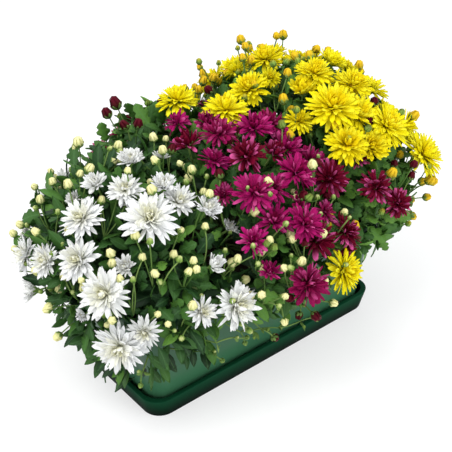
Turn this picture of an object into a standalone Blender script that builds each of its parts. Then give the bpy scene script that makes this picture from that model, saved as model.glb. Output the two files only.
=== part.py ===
"""Planted window box: three chrysanthemums in a tapered plastic trough on its drip tray.

Metres, +Z up. The origin is the centre of the drip tray's underside. +X runs along
the row, from the white plant past the magenta one to the yellow one, and -Y is the
front. Each plant is a crown of stems, one leaf mass, and blooms and buds on stalks.
"""
import math

import bmesh
import bpy
from mathutils import Vector

GAP = 0.0003                    # left between pieces that touch

# Drip tray, a shallow flared dish.
TRAY_LENGTH = 0.388
TRAY_WIDTH = 0.163
TRAY_CORNER = 0.025
TRAY_HEIGHT = 0.030
TRAY_FLARE = 0.006
TRAY_WALL = 0.003

# Window box, a tapered trough with a rolled lip, standing in the tray.
BOX_LENGTH = 0.372
BOX_WIDTH = 0.147
BOX_CORNER = 0.021
BOX_FOOT = TRAY_WALL + GAP
BOX_RIM = 0.150
BOX_FLARE = 0.014
BOX_WALL = 0.0025
LIP_WIDTH = 0.006
LIP_HEIGHT = 0.011
DRAIN_RADIUS = 0.004
DRAIN_PLACES = (-0.135, -0.045, 0.045, 0.135)

# Compost, filled to just under the lip.
COMPOST_TOP = 0.141
COMPOST_MOUND = 0.002
MOUND_SHOULDER = 0.020          # how far in from the wall the mound's level top begins
CORNER_MARGIN = 0.0004          # keeps the fill's corners clear of the trough's own

# Leaf masses, each a dome with a shallow belly, divided from the next plant's.
HEART_HEIGHT = 0.165
LEAF_BELLY = 0.090              # how deep the belly would reach below the heart
LEAF_HEM = 0.110                # where the belly is cut level
LEAF_CLEARANCE = 0.003
GUIDE_OVERLAP = 0.020           # how far below the hem the trough's clearance starts
PLANTS = {
    "white": {"heart": (-0.135, 0.025), "reach": (0.118, 0.150, 0.133)},
    "magenta": {"heart": (-0.015, 0.035), "reach": (0.148, 0.198, 0.153)},
    "yellow": {"heart": (0.150, 0.045), "reach": (0.163, 0.183, 0.178)},
}
DIVISIONS = (-0.075, 0.065)     # X of the planes between neighbouring leaf masses
CROWN_RADIUS = 0.012
CROWN_HEIGHT = 0.004
STEM_RADIUS = 0.0018
STEM_LENGTH = 0.007
STEM_SPREAD = 0.006             # how far from the crown's middle each stem starts
STEM_FOOT = 0.6                 # how far up the crown its stems start, as a share
STEMS_PER_PLANT = 5

# Blooms and buds stand on stalks over the leaves.
BLOOM_STAND = 0.022             # height of a bloom's centre over the leaf mass
STALK_RADIUS = 0.0016
WALK_STEP = 0.0005              # how finely places over the leaves are searched for
WALK_START = 0.400
LONGEST_STALK = 0.080
STALK_CLEARANCE = 0.002
SKYWARD = 0.3                   # how far a bloom turns up from the surface below it

# Bearing from +X and rise over the horizon, as seen from the plant's heart, in
# degrees, then the bloom's width and its extra height over the leaves in millimetres.
BLOOMS = {
    "white": (
        (247, 50, 60, 6), (230, 66, 40, 0), (200, 50, 50, 3), (205, 32, 50, 0),
        (183, 25, 40, 3), (197, 66, 34, 4), (268, 63, 36, 2), (240, 81, 38, 5),
        (284, 45, 38, 4), (222, 20, 58, 5), (227, -6, 58, 4), (279, 4, 56, 2),
        (155, 14, 42, 0), (112, -2, 46, 0), (95, 18, 52, 0),
    ),
    "magenta": (
        (320, 61, 44, 0), (290, 66, 46, 4), (262, 56, 46, 2), (250, 70, 44, 2),
        (255, 41, 50, 3), (282, 42, 50, 2), (300, 32, 44, 4), (308, 21, 42, 4),
        (312, 12, 38, 2), (270, 26, 44, 4), (292, 14, 44, 2), (266, 7, 48, 0),
        (103, 16, 40, -6), (80, 22, 52, 0),
    ),
    "yellow": (
        (171, 45, 46, 8), (192, 50, 50, 4), (182, 65, 46, 0), (140, 79, 44, 4),
        (258, 75, 46, 3), (286, 63, 46, 4), (254, 57, 58, 6), (282, 43, 54, 5),
        (254, 42, 48, 2), (303, 23, 58, 6), (243, 3, 48, 3),
        (75, 42, 54, 2), (20, 32, 54, 2),
    ),
}

# The same two angles, then the bud's width and the height it stands clear, in millimetres.
BUDS = {
    "white": ((138, 20, 10, 24), (181, -24, 11, 26)),
    "magenta": ((112, 42, 13, 34), (108, 46, 15, 38), (270, -8, 11, 22)),
    "yellow": ((93, 62, 12, 44), (60, 72, 12, 40), (317, 34, 13, 30), (306, 9, 12, 30)),
}

COLOURS = {
    "tray_green": (0.012, 0.075, 0.036),
    "box_green": (0.018, 0.105, 0.052),
    "compost": (0.050, 0.032, 0.020),
    "stem": (0.160, 0.210, 0.070),
    "leaf": (0.040, 0.120, 0.030),
    "white": (0.860, 0.880, 0.820),
    "magenta": (0.380, 0.016, 0.110),
    "yellow": (0.870, 0.700, 0.010),
}
GLOSSY = 0.28
DULL = 0.75


def clear_scene():
    for item in list(bpy.data.objects):
        bpy.data.objects.remove(item, do_unlink=True)


def new_collection(name):
    collection = bpy.data.collections.new(name)
    bpy.context.scene.collection.children.link(collection)
    return collection


def paint(name, roughness):
    material = bpy.data.materials.new(name)
    material.use_nodes = True
    shader = material.node_tree.nodes["Principled BSDF"]
    shader.inputs["Base Color"].default_value = (*COLOURS[name], 1.0)
    shader.inputs["Roughness"].default_value = roughness
    shader.inputs["Metallic"].default_value = 0.0
    return material


def place(name, shape, material, collection):
    """Turn a bmesh into a named object in the given collection."""
    mesh = bpy.data.meshes.new(name)
    shape.to_mesh(mesh)
    shape.free()
    item = bpy.data.objects.new(name, mesh)
    if material:
        mesh.materials.append(material)
    collection.objects.link(item)
    return item


def hide_guide(item):
    item.hide_render = True
    item.display_type = "WIRE"
    return item


# ---------------------------------------------------------------- moulded parts

def rounded_sheet(length, width, corner, height):
    """A level rounded rectangle, which each moulded part grows from."""
    shape = bmesh.new()
    bmesh.ops.create_grid(shape, x_segments=1, y_segments=1, size=0.5)
    bmesh.ops.scale(shape, vec=(length, width, 1.0), verts=shape.verts)
    bmesh.ops.bevel(shape, geom=shape.verts[:], offset=corner, segments=5,
                    profile=0.5, affect="VERTICES")
    bmesh.ops.translate(shape, vec=(0.0, 0.0, height), verts=shape.verts)
    return shape


def push(shape, face, lift, grow):
    """Extrude a level face up by lift and set its outline out by grow."""
    moved = bmesh.ops.extrude_face_region(shape, geom=[face])["geom"]
    verts = [part for part in moved if isinstance(part, bmesh.types.BMVert)]
    half_length = max(vert.co.x for vert in verts)
    half_width = max(vert.co.y for vert in verts)
    stretch = (1.0 + grow / half_length, 1.0 + grow / half_width, 1.0)
    bmesh.ops.scale(shape, vec=stretch, verts=verts)
    bmesh.ops.translate(shape, vec=(0.0, 0.0, lift), verts=verts)
    return next(part for part in moved if isinstance(part, bmesh.types.BMFace))


def push_through(shape, steps):
    """Carry the sheet's face through (lift, grow) steps. The sheet itself stays as the foot."""
    shape.faces.ensure_lookup_table()
    foot = shape.faces[0]
    face = foot
    for lift, grow in steps:
        moved = push(shape, face, lift, grow)
        if face is not foot:
            bmesh.ops.delete(shape, geom=[face], context="FACES_ONLY")
        face = moved
    bmesh.ops.recalc_face_normals(shape, faces=shape.faces)
    return shape


def drip_tray(collection):
    shape = rounded_sheet(TRAY_LENGTH, TRAY_WIDTH, TRAY_CORNER, 0.0)
    inner_depth = TRAY_HEIGHT - TRAY_WALL
    push_through(shape, (
        (TRAY_HEIGHT, TRAY_FLARE),
        (0.0, -TRAY_WALL),
        (-inner_depth, -TRAY_FLARE * inner_depth / TRAY_HEIGHT),
    ))
    return place("drip_tray", shape, paint("tray_green", GLOSSY), collection)


def drain_cutters(collection):
    """Four upright pins that drill the trough's floor."""
    cutters = []
    for number, along in enumerate(DRAIN_PLACES, 1):
        shape = bmesh.new()
        bmesh.ops.create_cone(shape, cap_ends=True, segments=16, radius1=DRAIN_RADIUS,
                              radius2=DRAIN_RADIUS, depth=4.0 * BOX_WALL)
        cutter = place(f"drain_cutter_{number}", shape, None, collection)
        cutter.location = (along, 0.0, BOX_FOOT + BOX_WALL / 2.0)
        cutters.append(hide_guide(cutter))
    return cutters


def subtract(item, cutter):
    cut = item.modifiers.new(f"cut_{cutter.name}", "BOOLEAN")
    cut.operation = "DIFFERENCE"
    cut.solver = "EXACT"
    cut.object = cutter


def wall_flare(height):
    """How far the trough's wall has flared out at a height over its foot."""
    return BOX_FLARE * height / (BOX_RIM - BOX_FOOT)


def window_box(collection, cutters):
    shape = rounded_sheet(BOX_LENGTH, BOX_WIDTH, BOX_CORNER, BOX_FOOT)
    wall = BOX_RIM - BOX_FOOT - LIP_HEIGHT
    depth = BOX_RIM - BOX_FOOT - BOX_WALL
    push_through(shape, (
        (wall, wall_flare(wall)),
        (0.0, LIP_WIDTH),
        (LIP_HEIGHT, wall_flare(LIP_HEIGHT)),
        (0.0, -LIP_WIDTH - BOX_WALL),
        (-depth, -wall_flare(depth)),
    ))
    item = place("window_box", shape, paint("box_green", GLOSSY), collection)
    for cutter in drain_cutters(cutters):
        subtract(item, cutter)
    return item


def compost(collection):
    foot = BOX_FOOT + BOX_WALL + GAP
    inset = 2.0 * (BOX_WALL + GAP) + CORNER_MARGIN
    length = BOX_LENGTH - inset
    width = BOX_WIDTH - inset
    shape = rounded_sheet(length, width, BOX_CORNER - BOX_WALL, foot)
    depth = COMPOST_TOP - foot
    push_through(shape, (
        (depth, wall_flare(depth)),
        (COMPOST_MOUND, -MOUND_SHOULDER),
    ))
    return place("compost", shape, paint("compost", DULL), collection)


# ---------------------------------------------------------------- leaf masses

def slab(name):
    """The stretch of X that a plant's leaf mass keeps to."""
    limits = (-1.0, *DIVISIONS, 1.0)
    index = list(PLANTS).index(name)
    return limits[index] + GAP, limits[index + 1] - GAP


def heart(name):
    return Vector((*PLANTS[name]["heart"], HEART_HEIGHT))


def slice_off(shape, point, normal):
    """Cut away what lies beyond a plane and close the cut."""
    geometry = shape.verts[:] + shape.edges[:] + shape.faces[:]
    cut = bmesh.ops.bisect_plane(shape, geom=geometry, dist=0.00001, plane_co=point,
                                 plane_no=normal, clear_outer=True)["geom_cut"]
    edges = [part for part in cut if isinstance(part, bmesh.types.BMEdge)]
    bmesh.ops.contextual_create(shape, geom=edges)


def rim_guide(collection):
    """The trough's upper half with clearance, which the leaf masses hang around."""
    low = LEAF_HEM - GUIDE_OVERLAP
    grow = 2.0 * (LEAF_CLEARANCE + LIP_WIDTH + BOX_FLARE)
    shape = rounded_sheet(BOX_LENGTH + grow, BOX_WIDTH + grow, BOX_CORNER + LIP_WIDTH, low)
    push_through(shape, ((BOX_RIM + LEAF_CLEARANCE - low, 0.0),))
    return hide_guide(place("rim_guide", shape, None, collection))


def leaf_mass(name, collection, guide, material):
    shape = bmesh.new()
    bmesh.ops.create_uvsphere(shape, u_segments=28, v_segments=16, radius=1.0)
    bmesh.ops.scale(shape, vec=PLANTS[name]["reach"], verts=shape.verts)
    belly = [vert for vert in shape.verts if vert.co.z < 0.0]
    bmesh.ops.scale(shape, vec=(1.0, 1.0, LEAF_BELLY / PLANTS[name]["reach"][2]), verts=belly)
    bmesh.ops.translate(shape, vec=heart(name), verts=shape.verts)
    slice_off(shape, (0.0, 0.0, LEAF_HEM), (0.0, 0.0, -1.0))
    low, high = slab(name)
    if low > -0.5:
        slice_off(shape, (low, 0.0, 0.0), (-1.0, 0.0, 0.0))
    if high < 0.5:
        slice_off(shape, (high, 0.0, 0.0), (1.0, 0.0, 0.0))
    bmesh.ops.recalc_face_normals(shape, faces=shape.faces)
    item = place(f"{name}_leaves", shape, material, collection)
    subtract(item, guide)
    return item


def stem(name, number, base, collection):
    """One stem that leans out of its plant's crown, as a guide for joining to it."""
    shape = bmesh.new()
    bmesh.ops.create_cone(shape, cap_ends=True, segments=10, radius1=STEM_RADIUS,
                          radius2=STEM_RADIUS, depth=STEM_LENGTH)
    item = place(f"{name}_stem_guide_{number}", shape, None, collection)
    turn = 2.0 * math.pi * number / STEMS_PER_PLANT
    outward = Vector((math.cos(turn), math.sin(turn), 0.0))
    heading = (outward + Vector((0.0, 0.0, 1.0))).normalized()
    root = Vector((PLANTS[name]["heart"][0], 0.0, base)) + outward * STEM_SPREAD
    item.location = root + heading * STEM_LENGTH / 2.0
    item.rotation_mode = "QUATERNION"
    item.rotation_quaternion = heading.to_track_quat("Z", "Y")
    return hide_guide(item)


def stem_crown(name, collection, guides, material):
    """The woody foot of a plant on the compost, with its stems joined to it."""
    base = COMPOST_TOP + COMPOST_MOUND + GAP
    shape = bmesh.new()
    bmesh.ops.create_cone(shape, cap_ends=True, segments=20, radius1=CROWN_RADIUS,
                          radius2=CROWN_RADIUS * 0.7, depth=CROWN_HEIGHT)
    middle = (PLANTS[name]["heart"][0], 0.0, base + CROWN_HEIGHT / 2.0)
    bmesh.ops.translate(shape, vec=middle, verts=shape.verts)
    item = place(f"{name}_stems", shape, material, collection)
    for number in range(STEMS_PER_PLANT):
        join = item.modifiers.new(f"stem_{number}", "BOOLEAN")
        join.operation = "UNION"
        join.solver = "EXACT"
        join.object = stem(name, number, base + CROWN_HEIGHT * STEM_FOOT, guides)
    return item


# ---------------------------------------------------------------- blooms and buds

def plant_at(point):
    """The plant whose leaf mass covers a point's place along the row."""
    return next(name for name in PLANTS if point.x <= slab(name)[1] + GAP)


def reach_towards(name, offset):
    """A leaf mass's three half-sizes on the side, above or below, where an offset lies."""
    length, width, height = PLANTS[name]["reach"]
    return length, width, height if offset.z > 0.0 else LEAF_BELLY


def in_leaves(point, margin):
    """Whether a point is in a leaf mass grown by a margin."""
    name = plant_at(point)
    offset = point - heart(name)
    reach = reach_towards(name, offset)
    ratios = [offset[axis] / (reach[axis] + margin) for axis in range(3)]
    return sum(ratio * ratio for ratio in ratios) < 1.0


def shell_point(name, bearing, rise, height):
    """Walk out from the plant's heart until clear of every leaf mass by a height."""
    turn = math.radians(bearing)
    lift = math.radians(rise)
    heading = Vector((math.cos(turn) * math.cos(lift), math.sin(turn) * math.cos(lift), math.sin(lift)))
    distance = WALK_START
    while distance > 0.0 and not in_leaves(heart(name) + heading * distance, height):
        distance -= WALK_STEP
    return heart(name) + heading * distance


def facing(point):
    """The way a bloom at a point looks: out from the leaves below it, and up a little."""
    name = plant_at(point)
    offset = point - heart(name)
    reach = reach_towards(name, offset)
    outward = Vector([offset[axis] / reach[axis] ** 2 for axis in range(3)]).normalized()
    return (outward + Vector((0.0, 0.0, SKYWARD))).normalized()


def stalk_length(foot, heading):
    """How far a stalk runs back from a head before it would enter the leaves."""
    length = WALK_STEP
    while length < LONGEST_STALK and not in_leaves(foot - heading * (length + WALK_STEP), STALK_CLEARANCE):
        length += WALK_STEP
    return length


def turned(name, profile, point, heading, sides, material, collection):
    """Spin a profile about its own axis, and stand it at a point along a heading."""
    shape = bmesh.new()
    verts = [shape.verts.new((radius, 0.0, height)) for radius, height in profile]
    for first, second in zip(verts, verts[1:]):
        shape.edges.new((first, second))
    item = place(name, shape, material, collection)
    screw = item.modifiers.new("turn", "SCREW")
    screw.steps = sides
    screw.render_steps = sides
    screw.use_merge_vertices = True
    screw.merge_threshold = 0.00001
    item.location = point
    item.rotation_mode = "QUATERNION"
    item.rotation_quaternion = heading.to_track_quat("Z", "Y")
    return item


def bloom(name, plant, spec, material, collection):
    bearing, rise, width, extra = spec
    point = shell_point(plant, bearing, rise, BLOOM_STAND + extra / 1000.0)
    heading = facing(point)
    radius = width / 2000.0
    neck = -0.34 * radius
    foot = neck - stalk_length(point + heading * neck, heading)
    profile = (
        (0.0, 0.34 * radius),
        (0.55 * radius, 0.26 * radius),
        (radius, 0.0),
        (0.45 * radius, -0.20 * radius),
        (STALK_RADIUS, neck),
        (STALK_RADIUS, foot),
        (0.0, foot),
    )
    return turned(name, profile, point, heading, 12, material, collection)


def bud(name, plant, spec, material, collection):
    bearing, rise, width, stand = spec
    point = shell_point(plant, bearing, rise, stand / 1000.0)
    heading = facing(point)
    radius = width / 2000.0
    neck = -1.1 * radius
    foot = neck - stalk_length(point + heading * neck, heading)
    profile = (
        (0.0, 1.2 * radius),
        (0.75 * radius, 0.75 * radius),
        (radius, 0.0),
        (0.7 * radius, -0.75 * radius),
        (STALK_RADIUS, neck),
        (STALK_RADIUS, foot),
        (0.0, foot),
    )
    return turned(name, profile, point, heading, 8, material, collection)


def build():
    clear_scene()
    parts = new_collection("planted_window_box")
    cutters = new_collection("cutters")
    drip_tray(parts)
    window_box(parts, cutters)
    compost(parts)
    guide = rim_guide(cutters)
    leaf = paint("leaf", DULL)
    wood = paint("stem", DULL)
    for plant in PLANTS:
        petal = paint(plant, DULL)
        stem_crown(plant, parts, cutters, wood)
        leaf_mass(plant, parts, guide, leaf)
        for number, spec in enumerate(BLOOMS[plant], 1):
            bloom(f"{plant}_bloom_{number:02d}", plant, spec, petal, parts)
        for number, spec in enumerate(BUDS[plant], 1):
            bud(f"{plant}_bud_{number:02d}", plant, spec, petal, parts)


build()
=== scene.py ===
import math

import bmesh
import bpy
import numpy as np
from mathutils import Matrix, Vector


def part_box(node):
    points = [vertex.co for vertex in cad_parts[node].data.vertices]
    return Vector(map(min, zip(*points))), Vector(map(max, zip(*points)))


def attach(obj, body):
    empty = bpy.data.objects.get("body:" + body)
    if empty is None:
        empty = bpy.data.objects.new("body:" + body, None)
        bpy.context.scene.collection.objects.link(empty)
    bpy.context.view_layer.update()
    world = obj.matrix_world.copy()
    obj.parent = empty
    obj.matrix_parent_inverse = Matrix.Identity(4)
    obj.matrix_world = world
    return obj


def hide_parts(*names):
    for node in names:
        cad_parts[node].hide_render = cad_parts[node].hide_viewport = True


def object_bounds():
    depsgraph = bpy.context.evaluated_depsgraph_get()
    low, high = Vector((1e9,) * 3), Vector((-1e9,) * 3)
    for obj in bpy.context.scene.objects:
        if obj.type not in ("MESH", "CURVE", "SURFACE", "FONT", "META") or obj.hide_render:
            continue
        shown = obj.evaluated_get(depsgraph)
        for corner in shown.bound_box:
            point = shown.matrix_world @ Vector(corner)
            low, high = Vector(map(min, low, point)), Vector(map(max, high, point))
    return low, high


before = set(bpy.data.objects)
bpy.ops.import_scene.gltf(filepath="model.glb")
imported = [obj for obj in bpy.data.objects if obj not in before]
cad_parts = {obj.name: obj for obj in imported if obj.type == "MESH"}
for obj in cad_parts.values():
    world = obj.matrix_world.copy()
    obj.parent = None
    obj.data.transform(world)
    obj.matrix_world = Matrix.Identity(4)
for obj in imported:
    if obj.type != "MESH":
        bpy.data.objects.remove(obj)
cad_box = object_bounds()

# ------------------------ the studio
# A white sweep lit by a broad window-like light high on the left, a weaker one in
# front and an even pale surround, so the shadow falls softly to the right.

VIEW_BEARING = math.radians(-38.8)
VIEW_RISE = math.radians(31.3)
VIEW_DISTANCE = 1.2
VIEW_TARGET = Vector((0.022, 0.039, 0.149))
VIEW_ROLL = math.radians(-1.0)
LENS = 68.06
LIT_POINT = Vector((0.0, 0.0, 0.15))
SURROUND_COLOUR = (0.97, 0.985, 1.0, 1.0)
SURROUND_STRENGTH = 1.12


def looking(item, place, target):
    """Stand a camera or a light at a place and point it at a target."""
    item.location = place
    item.rotation_mode = "QUATERNION"
    item.rotation_quaternion = (target - place).to_track_quat("-Z", "Y")


def add_light(name, place, size, watts, colour):
    """Hang a square area light that points at the middle of the plants."""
    lamp = bpy.data.lights.new(name, "AREA")
    lamp.size = size
    lamp.energy = watts
    lamp.color = colour
    item = bpy.data.objects.new(name, lamp)
    bpy.context.scene.collection.objects.link(item)
    looking(item, Vector(place), LIT_POINT)


camera = bpy.data.objects.new("camera", bpy.data.cameras.new("camera"))
camera.data.lens = LENS
bpy.context.scene.collection.objects.link(camera)
bpy.context.scene.camera = camera
backwards = Vector((math.sin(VIEW_BEARING) * math.cos(VIEW_RISE),
                    -math.cos(VIEW_BEARING) * math.cos(VIEW_RISE),
                    math.sin(VIEW_RISE)))
looking(camera, VIEW_TARGET + backwards * VIEW_DISTANCE, VIEW_TARGET)
camera.rotation_quaternion @= Matrix.Rotation(VIEW_ROLL, 3, "Z").to_quaternion()
bpy.context.scene.view_settings.view_transform = "Standard"

add_light("key", (-1.2, -0.1, 2.3), 1.2, 26.0, (1.0, 0.985, 0.96))
add_light("fill", (0.7, -2.1, 1.5), 1.6, 15.0, (0.97, 0.99, 1.0))
world = bpy.data.worlds.new("surround")
world.use_nodes = True
world.node_tree.nodes["Background"].inputs["Color"].default_value = SURROUND_COLOUR
world.node_tree.nodes["Background"].inputs["Strength"].default_value = SURROUND_STRENGTH
bpy.context.scene.world = world


class Socket:
    """A value inside a material, which arithmetic builds Math nodes on."""

    def __init__(self, finish, socket):
        self.finish = finish
        self.socket = socket

    def _math(self, operation, first, second=0.0):
        return self.finish.node("ShaderNodeMath", {"operation": operation}, {0: first, 1: second})

    def __add__(self, other):
        return self._math("ADD", self, other)

    def __radd__(self, other):
        return self._math("ADD", other, self)

    def __sub__(self, other):
        return self._math("SUBTRACT", self, other)

    def __rsub__(self, other):
        return self._math("SUBTRACT", other, self)

    def __mul__(self, other):
        return self._math("MULTIPLY", self, other)

    def __rmul__(self, other):
        return self._math("MULTIPLY", other, self)

    def __truediv__(self, other):
        return self._math("DIVIDE", self, other)

    def __abs__(self):
        return self._math("ABSOLUTE", self)

    def above(self, level):
        return self._math("GREATER_THAN", self, level)

    def floor(self):
        return self._math("FLOOR", self)

    def fraction(self):
        return self._math("FRACT", self)

    def sine(self):
        return self._math("SINE", self)

    def between(self, low, high):
        """0 under low, 1 over high and a smooth step from one to the other."""
        return self.finish.node("ShaderNodeMapRange", {"interpolation_type": "SMOOTHSTEP"},
                                {"Value": self, "From Min": low, "From Max": high})


class Finish:
    """A material under construction around one Principled shader."""

    def __init__(self, name, **constants):
        self.material = bpy.data.materials.new(name)
        self.material.use_nodes = True
        self.tree = self.material.node_tree
        self.shader = self.tree.nodes["Principled BSDF"]
        for socket, value in constants.items():
            self.shader.inputs[socket.replace("_", " ")].default_value = value

    def node(self, kind, settings, inputs, output=0):
        """Add any node: its settings first, then the values or links of its sockets."""
        made = self.tree.nodes.new(kind)
        for key, value in settings.items():
            if key == "stops":
                fill_ramp(made.color_ramp, value)
            else:
                setattr(made, key, value)
        for key, value in inputs.items():
            if isinstance(value, Socket):
                self.tree.links.new(value.socket, made.inputs[key])
            else:
                made.inputs[key].default_value = value
        return Socket(self, made.outputs[output])

    def mix(self, amount, first, second):
        """Blend two colours, each a socket or three numbers."""
        ends = [end if isinstance(end, Socket) else (*end, 1.0) for end in (first, second)]
        return self.node("ShaderNodeMix", {"data_type": "RGBA"}, {0: amount, 6: ends[0], 7: ends[1]}, 2)

    def noise(self, vector, scale, detail=3.0):
        return self.node("ShaderNodeTexNoise", {}, {"Vector": vector, "Scale": scale, "Detail": detail})

    def place(self):
        return self.node("ShaderNodeTexCoord", {}, {}, 3)

    def feed(self, **sockets):
        for name, value in sockets.items():
            self.tree.links.new(value.socket, self.shader.inputs[name.replace("_", " ")])

    def bump(self, height, distance, strength=1.0):
        self.feed(Normal=self.node("ShaderNodeBump", {}, {
            "Height": height, "Distance": distance, "Strength": strength}))


def fill_ramp(ramp, stops):
    while len(ramp.elements) < len(stops):
        ramp.elements.new(1.0)
    for element, (position, colour) in zip(ramp.elements, stops):
        element.position = position
        element.color = (*colour, 1.0)


def deselect():
    if bpy.context.object and bpy.context.object.mode != "OBJECT":
        bpy.ops.object.mode_set(mode="OBJECT")
    bpy.ops.object.select_all(action="DESELECT")


def dress(piece, material):
    piece.data.materials.clear()
    piece.data.materials.append(material)


def settle(name, material):
    """Name the active object, apply its place and give it its material."""
    piece = bpy.context.object
    if piece.mode != "OBJECT":
        bpy.ops.object.mode_set(mode="OBJECT")
    bpy.ops.object.transform_apply()
    piece.name = name
    piece.data.name = name
    dress(piece, material)
    return piece


deselect()
bpy.ops.mesh.primitive_plane_add(size=9.0)
sweep = Finish("white_sweep", Roughness=0.9, Specular_IOR_Level=0.1,
               Emission_Color=(1.0, 1.0, 1.0, 1.0), Emission_Strength=0.57)
grain = sweep.noise(sweep.place(), 3.0)
sweep.feed(Base_Color=sweep.mix(grain, (0.41, 0.41, 0.415), (0.44, 0.44, 0.44)))
floor = settle("floor", sweep.material)

# ------------------------ the trough
# A tapered trough moulded in one shot from glossy dark green plastic, with round
# corners and a rolled lip. It stands in its tray, and leaves hide most of the lip.

ORIGIN = (0.0, 0.0, 0.0)
BOX_FOOT_LENGTH = 0.372
BOX_FOOT_WIDTH = 0.147
BOX_CORNER = 0.021
BOX_WALL = 0.0025
LIP_WIDTH = 0.006
LIP_HEIGHT = 0.011
CORNER_SEGMENTS = 10
NEAR = 0.0001                   # a point this close to a plane or a line is on it
ROUNDED_FROM = math.radians(35.0)
CREASED_FROM = math.radians(50.0)
DUST = (0.16, 0.21, 0.17)
# painted light: a paler green that lightens the low wall against the shade the tray's rim throws on it
PAINTED_LIGHT_GREEN = (0.075, 0.230, 0.120)
# painted shade: near black, laid on the foot of each moulding
PAINTED_SHADE_GREEN = (0.0005, 0.003, 0.0015)


def pick(test):
    """Select just the vertices whose place passes a test."""
    shape = bmesh.from_edit_mesh(bpy.context.object.data)
    for vert in shape.verts:
        vert.select_set(test(vert.co))
    shape.select_flush_mode()
    bmesh.update_edit_mesh(bpy.context.object.data)


def pick_edges(test):
    """Select just the edges whose two ends pass a test."""
    shape = bmesh.from_edit_mesh(bpy.context.object.data)
    for edge in shape.edges:
        edge.select_set(test(edge.verts[0].co, edge.verts[1].co))
    bmesh.update_edit_mesh(bpy.context.object.data)


def start_moulding(length, width, corner, low, high, flare):
    """A block with round upright corners whose top is wider than its foot by flare."""
    deselect()
    bpy.ops.mesh.primitive_cube_add(size=1.0, location=(0.0, 0.0, (low + high) / 2.0))
    bpy.context.object.scale = (length, width, high - low)
    bpy.ops.object.transform_apply()
    bpy.ops.object.mode_set(mode="EDIT")
    bpy.ops.mesh.select_mode(type="EDGE")
    pick_edges(lambda first, second: abs(first.z - second.z) > NEAR)
    bpy.ops.mesh.bevel(offset=corner, segments=CORNER_SEGMENTS, affect="EDGES")
    bpy.ops.mesh.select_mode(type="VERT")
    pick(lambda place: place.z > high - NEAR)
    return resize(length, width, flare)


def resize(length, width, grow):
    """Set the selected outline out by grow, and return its new length and width."""
    stretch = (1.0 + 2.0 * grow / length, 1.0 + 2.0 * grow / width, 1.0)
    bpy.ops.transform.resize(value=stretch, center_override=ORIGIN)
    return length + 2.0 * grow, width + 2.0 * grow


def push(size, lift, grow):
    """Extrude the selected level face by lift and set its outline out by grow."""
    bpy.ops.mesh.extrude_region_move(TRANSFORM_OT_translate={"value": (0.0, 0.0, lift)})
    return resize(*size, grow)


def finish_moulding(name, material, round_off):
    """Round the moulding's edges off and shade it smooth."""
    piece = settle(name, material)
    edges = piece.modifiers.new("edges", "BEVEL")
    edges.width = round_off
    edges.segments = 3
    edges.limit_method = "ANGLE"
    edges.angle_limit = ROUNDED_FROM
    bpy.ops.object.modifier_apply(modifier="edges")
    bpy.ops.object.shade_smooth_by_angle(angle=CREASED_FROM)
    return piece


def green_plastic(name, dark, light, gloss, dullness, dust, painted_light_share, painted_shade_height):
    """Moulded plastic: mottled, rubbed and dusty, with painted light low down on the walls and painted shade
    at the very foot.
    """
    finish = Finish(name, Specular_IOR_Level=gloss)
    place = finish.place()
    mottle = finish.noise(place, 9.0, 4.0)
    rubbed = finish.noise(place, 34.0, 6.0).between(0.56, 0.74)
    streaks = finish.noise(finish.node("ShaderNodeMapping", {}, {
        "Vector": place, "Scale": (1.0, 1.0, 0.06)}), 60.0, 2.0).between(0.5, 0.8)
    colour = finish.mix(mottle, dark, light)
    dusty = finish.mix(streaks * dust + rubbed * dust * 0.6, colour, DUST)
    height = finish.node("ShaderNodeSeparateXYZ", {}, {0: place}, 2) + finish.noise(place, 30.0) * 0.004
    # painted light: lighter from 80 mm above the floor down, most below 25 mm
    lit_low_down = finish.mix((1.0 - height.between(0.025, 0.080)) * painted_light_share, dusty, PAINTED_LIGHT_GREEN)
    # painted shade: darker towards the bottom, near black at the floor
    shaded_foot = finish.mix(height.between(0.0, painted_shade_height), PAINTED_SHADE_GREEN, lit_low_down)
    finish.feed(Base_Color=shaded_foot, Roughness=dullness + rubbed * 0.12 + streaks * 0.08)
    finish.bump(finish.noise(place, 420.0, 2.0) + finish.noise(place, 26.0) * 2.0, 0.00003)
    return finish.material


low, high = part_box("window_box")
lip_outset = high.x - BOX_FOOT_LENGTH / 2.0
flare = lip_outset - LIP_WIDTH
flare_slope = flare / (high.z - low.z)
size = start_moulding(BOX_FOOT_LENGTH, BOX_FOOT_WIDTH, BOX_CORNER, low.z, high.z - LIP_HEIGHT,
                      flare - flare_slope * LIP_HEIGHT)
size = push(size, 0.0, LIP_WIDTH)
size = push(size, LIP_HEIGHT, flare_slope * LIP_HEIGHT)
size = push(size, 0.0, -LIP_WIDTH - BOX_WALL)
inner_depth = high.z - low.z - BOX_WALL
push(size, -inner_depth, -flare_slope * inner_depth)
trough_green = green_plastic("trough_green", (0.018, 0.086, 0.036), (0.028, 0.110, 0.050),
                             gloss=0.25, dullness=0.34, dust=0.07, painted_light_share=0.42, painted_shade_height=0.012)
trough = finish_moulding("trough", trough_green, 0.0011)
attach(trough, "root")
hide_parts("window_box")

# ------------------------ the drip tray
# A shallow dish of the same plastic in a deeper green, a little larger than the
# trough's foot, with the same round corners. It catches what drains out.

TRAY_FOOT_LENGTH = 0.388
TRAY_FOOT_WIDTH = 0.163
TRAY_CORNER = 0.025
TRAY_WALL = 0.003
TRAY_BEAD = 0.0068              # how far the thickened rim reaches in, and how deep it is

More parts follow.
